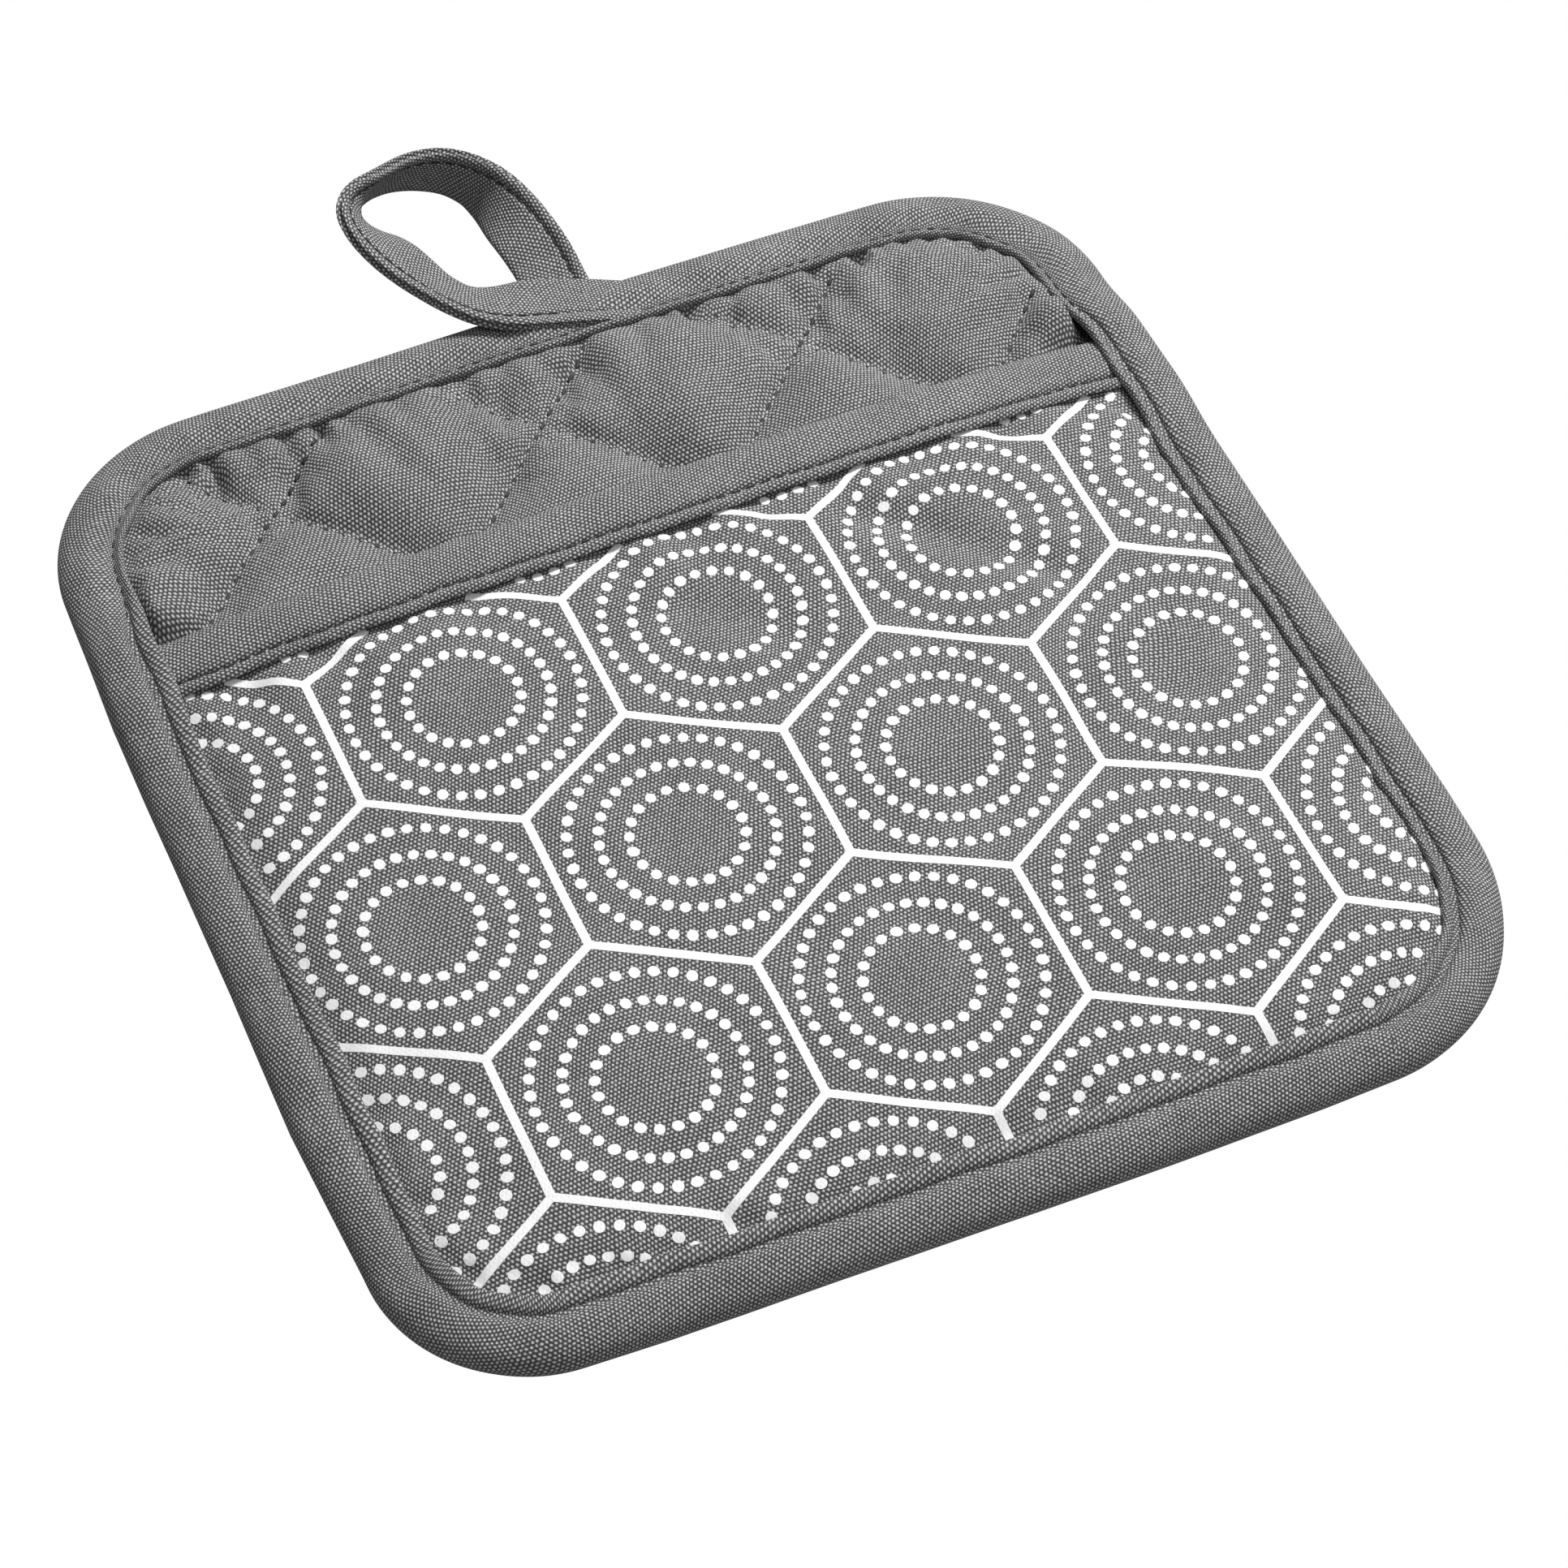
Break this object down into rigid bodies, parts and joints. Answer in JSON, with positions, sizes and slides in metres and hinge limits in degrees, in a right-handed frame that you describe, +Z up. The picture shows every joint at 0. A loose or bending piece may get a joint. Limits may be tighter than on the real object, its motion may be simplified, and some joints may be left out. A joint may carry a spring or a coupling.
{
  "type": "pocket pot holder",
  "caption": "Square quilted cloth pot holder with rounded corners, bound edge, a padded pocket with a bound mouth and printed face, and a folded hanging loop, lying flat",
  "frame": {"origin": "on the underside of the pad, in the flat of one quilted cell at the middle of the pad's width and height", "axes": "+X along the pocket's mouth, +Y from the bottom edge towards the hanging loop, +Z up from the surface it lies on, out through the pocket's printed face"},
  "size_m": [0.2154, 0.263, 0.0186],
  "materials": {
    "back_cloth": "plain woven cotton, charcoal with pale flecks",
    "front_cloth": "plain woven cotton, charcoal with pale flecks, quilted",
    "lining_cloth": "plain woven cotton, charcoal with pale flecks",
    "print_cloth": "plain woven cotton, charcoal with pale flecks",
    "print_ink": "matt white textile ink, a thin raised film",
    "binding_cloth": "bias cut woven cotton strip, folded",
    "thread": "spun sewing thread",
    "wadding": "soft cotton wadding"
  },
  "bodies": {
    "root": {"pad_back_fabric": "back_cloth", "pad_wadding": "wadding", "pad_front_fabric": "front_cloth", "pocket_lining": "lining_cloth", "pocket_wadding": "wadding", "pocket_front": "print_cloth", "pocket_binding": "binding_cloth", "edge_binding": "binding_cloth"}
  },
  "joints": []
}
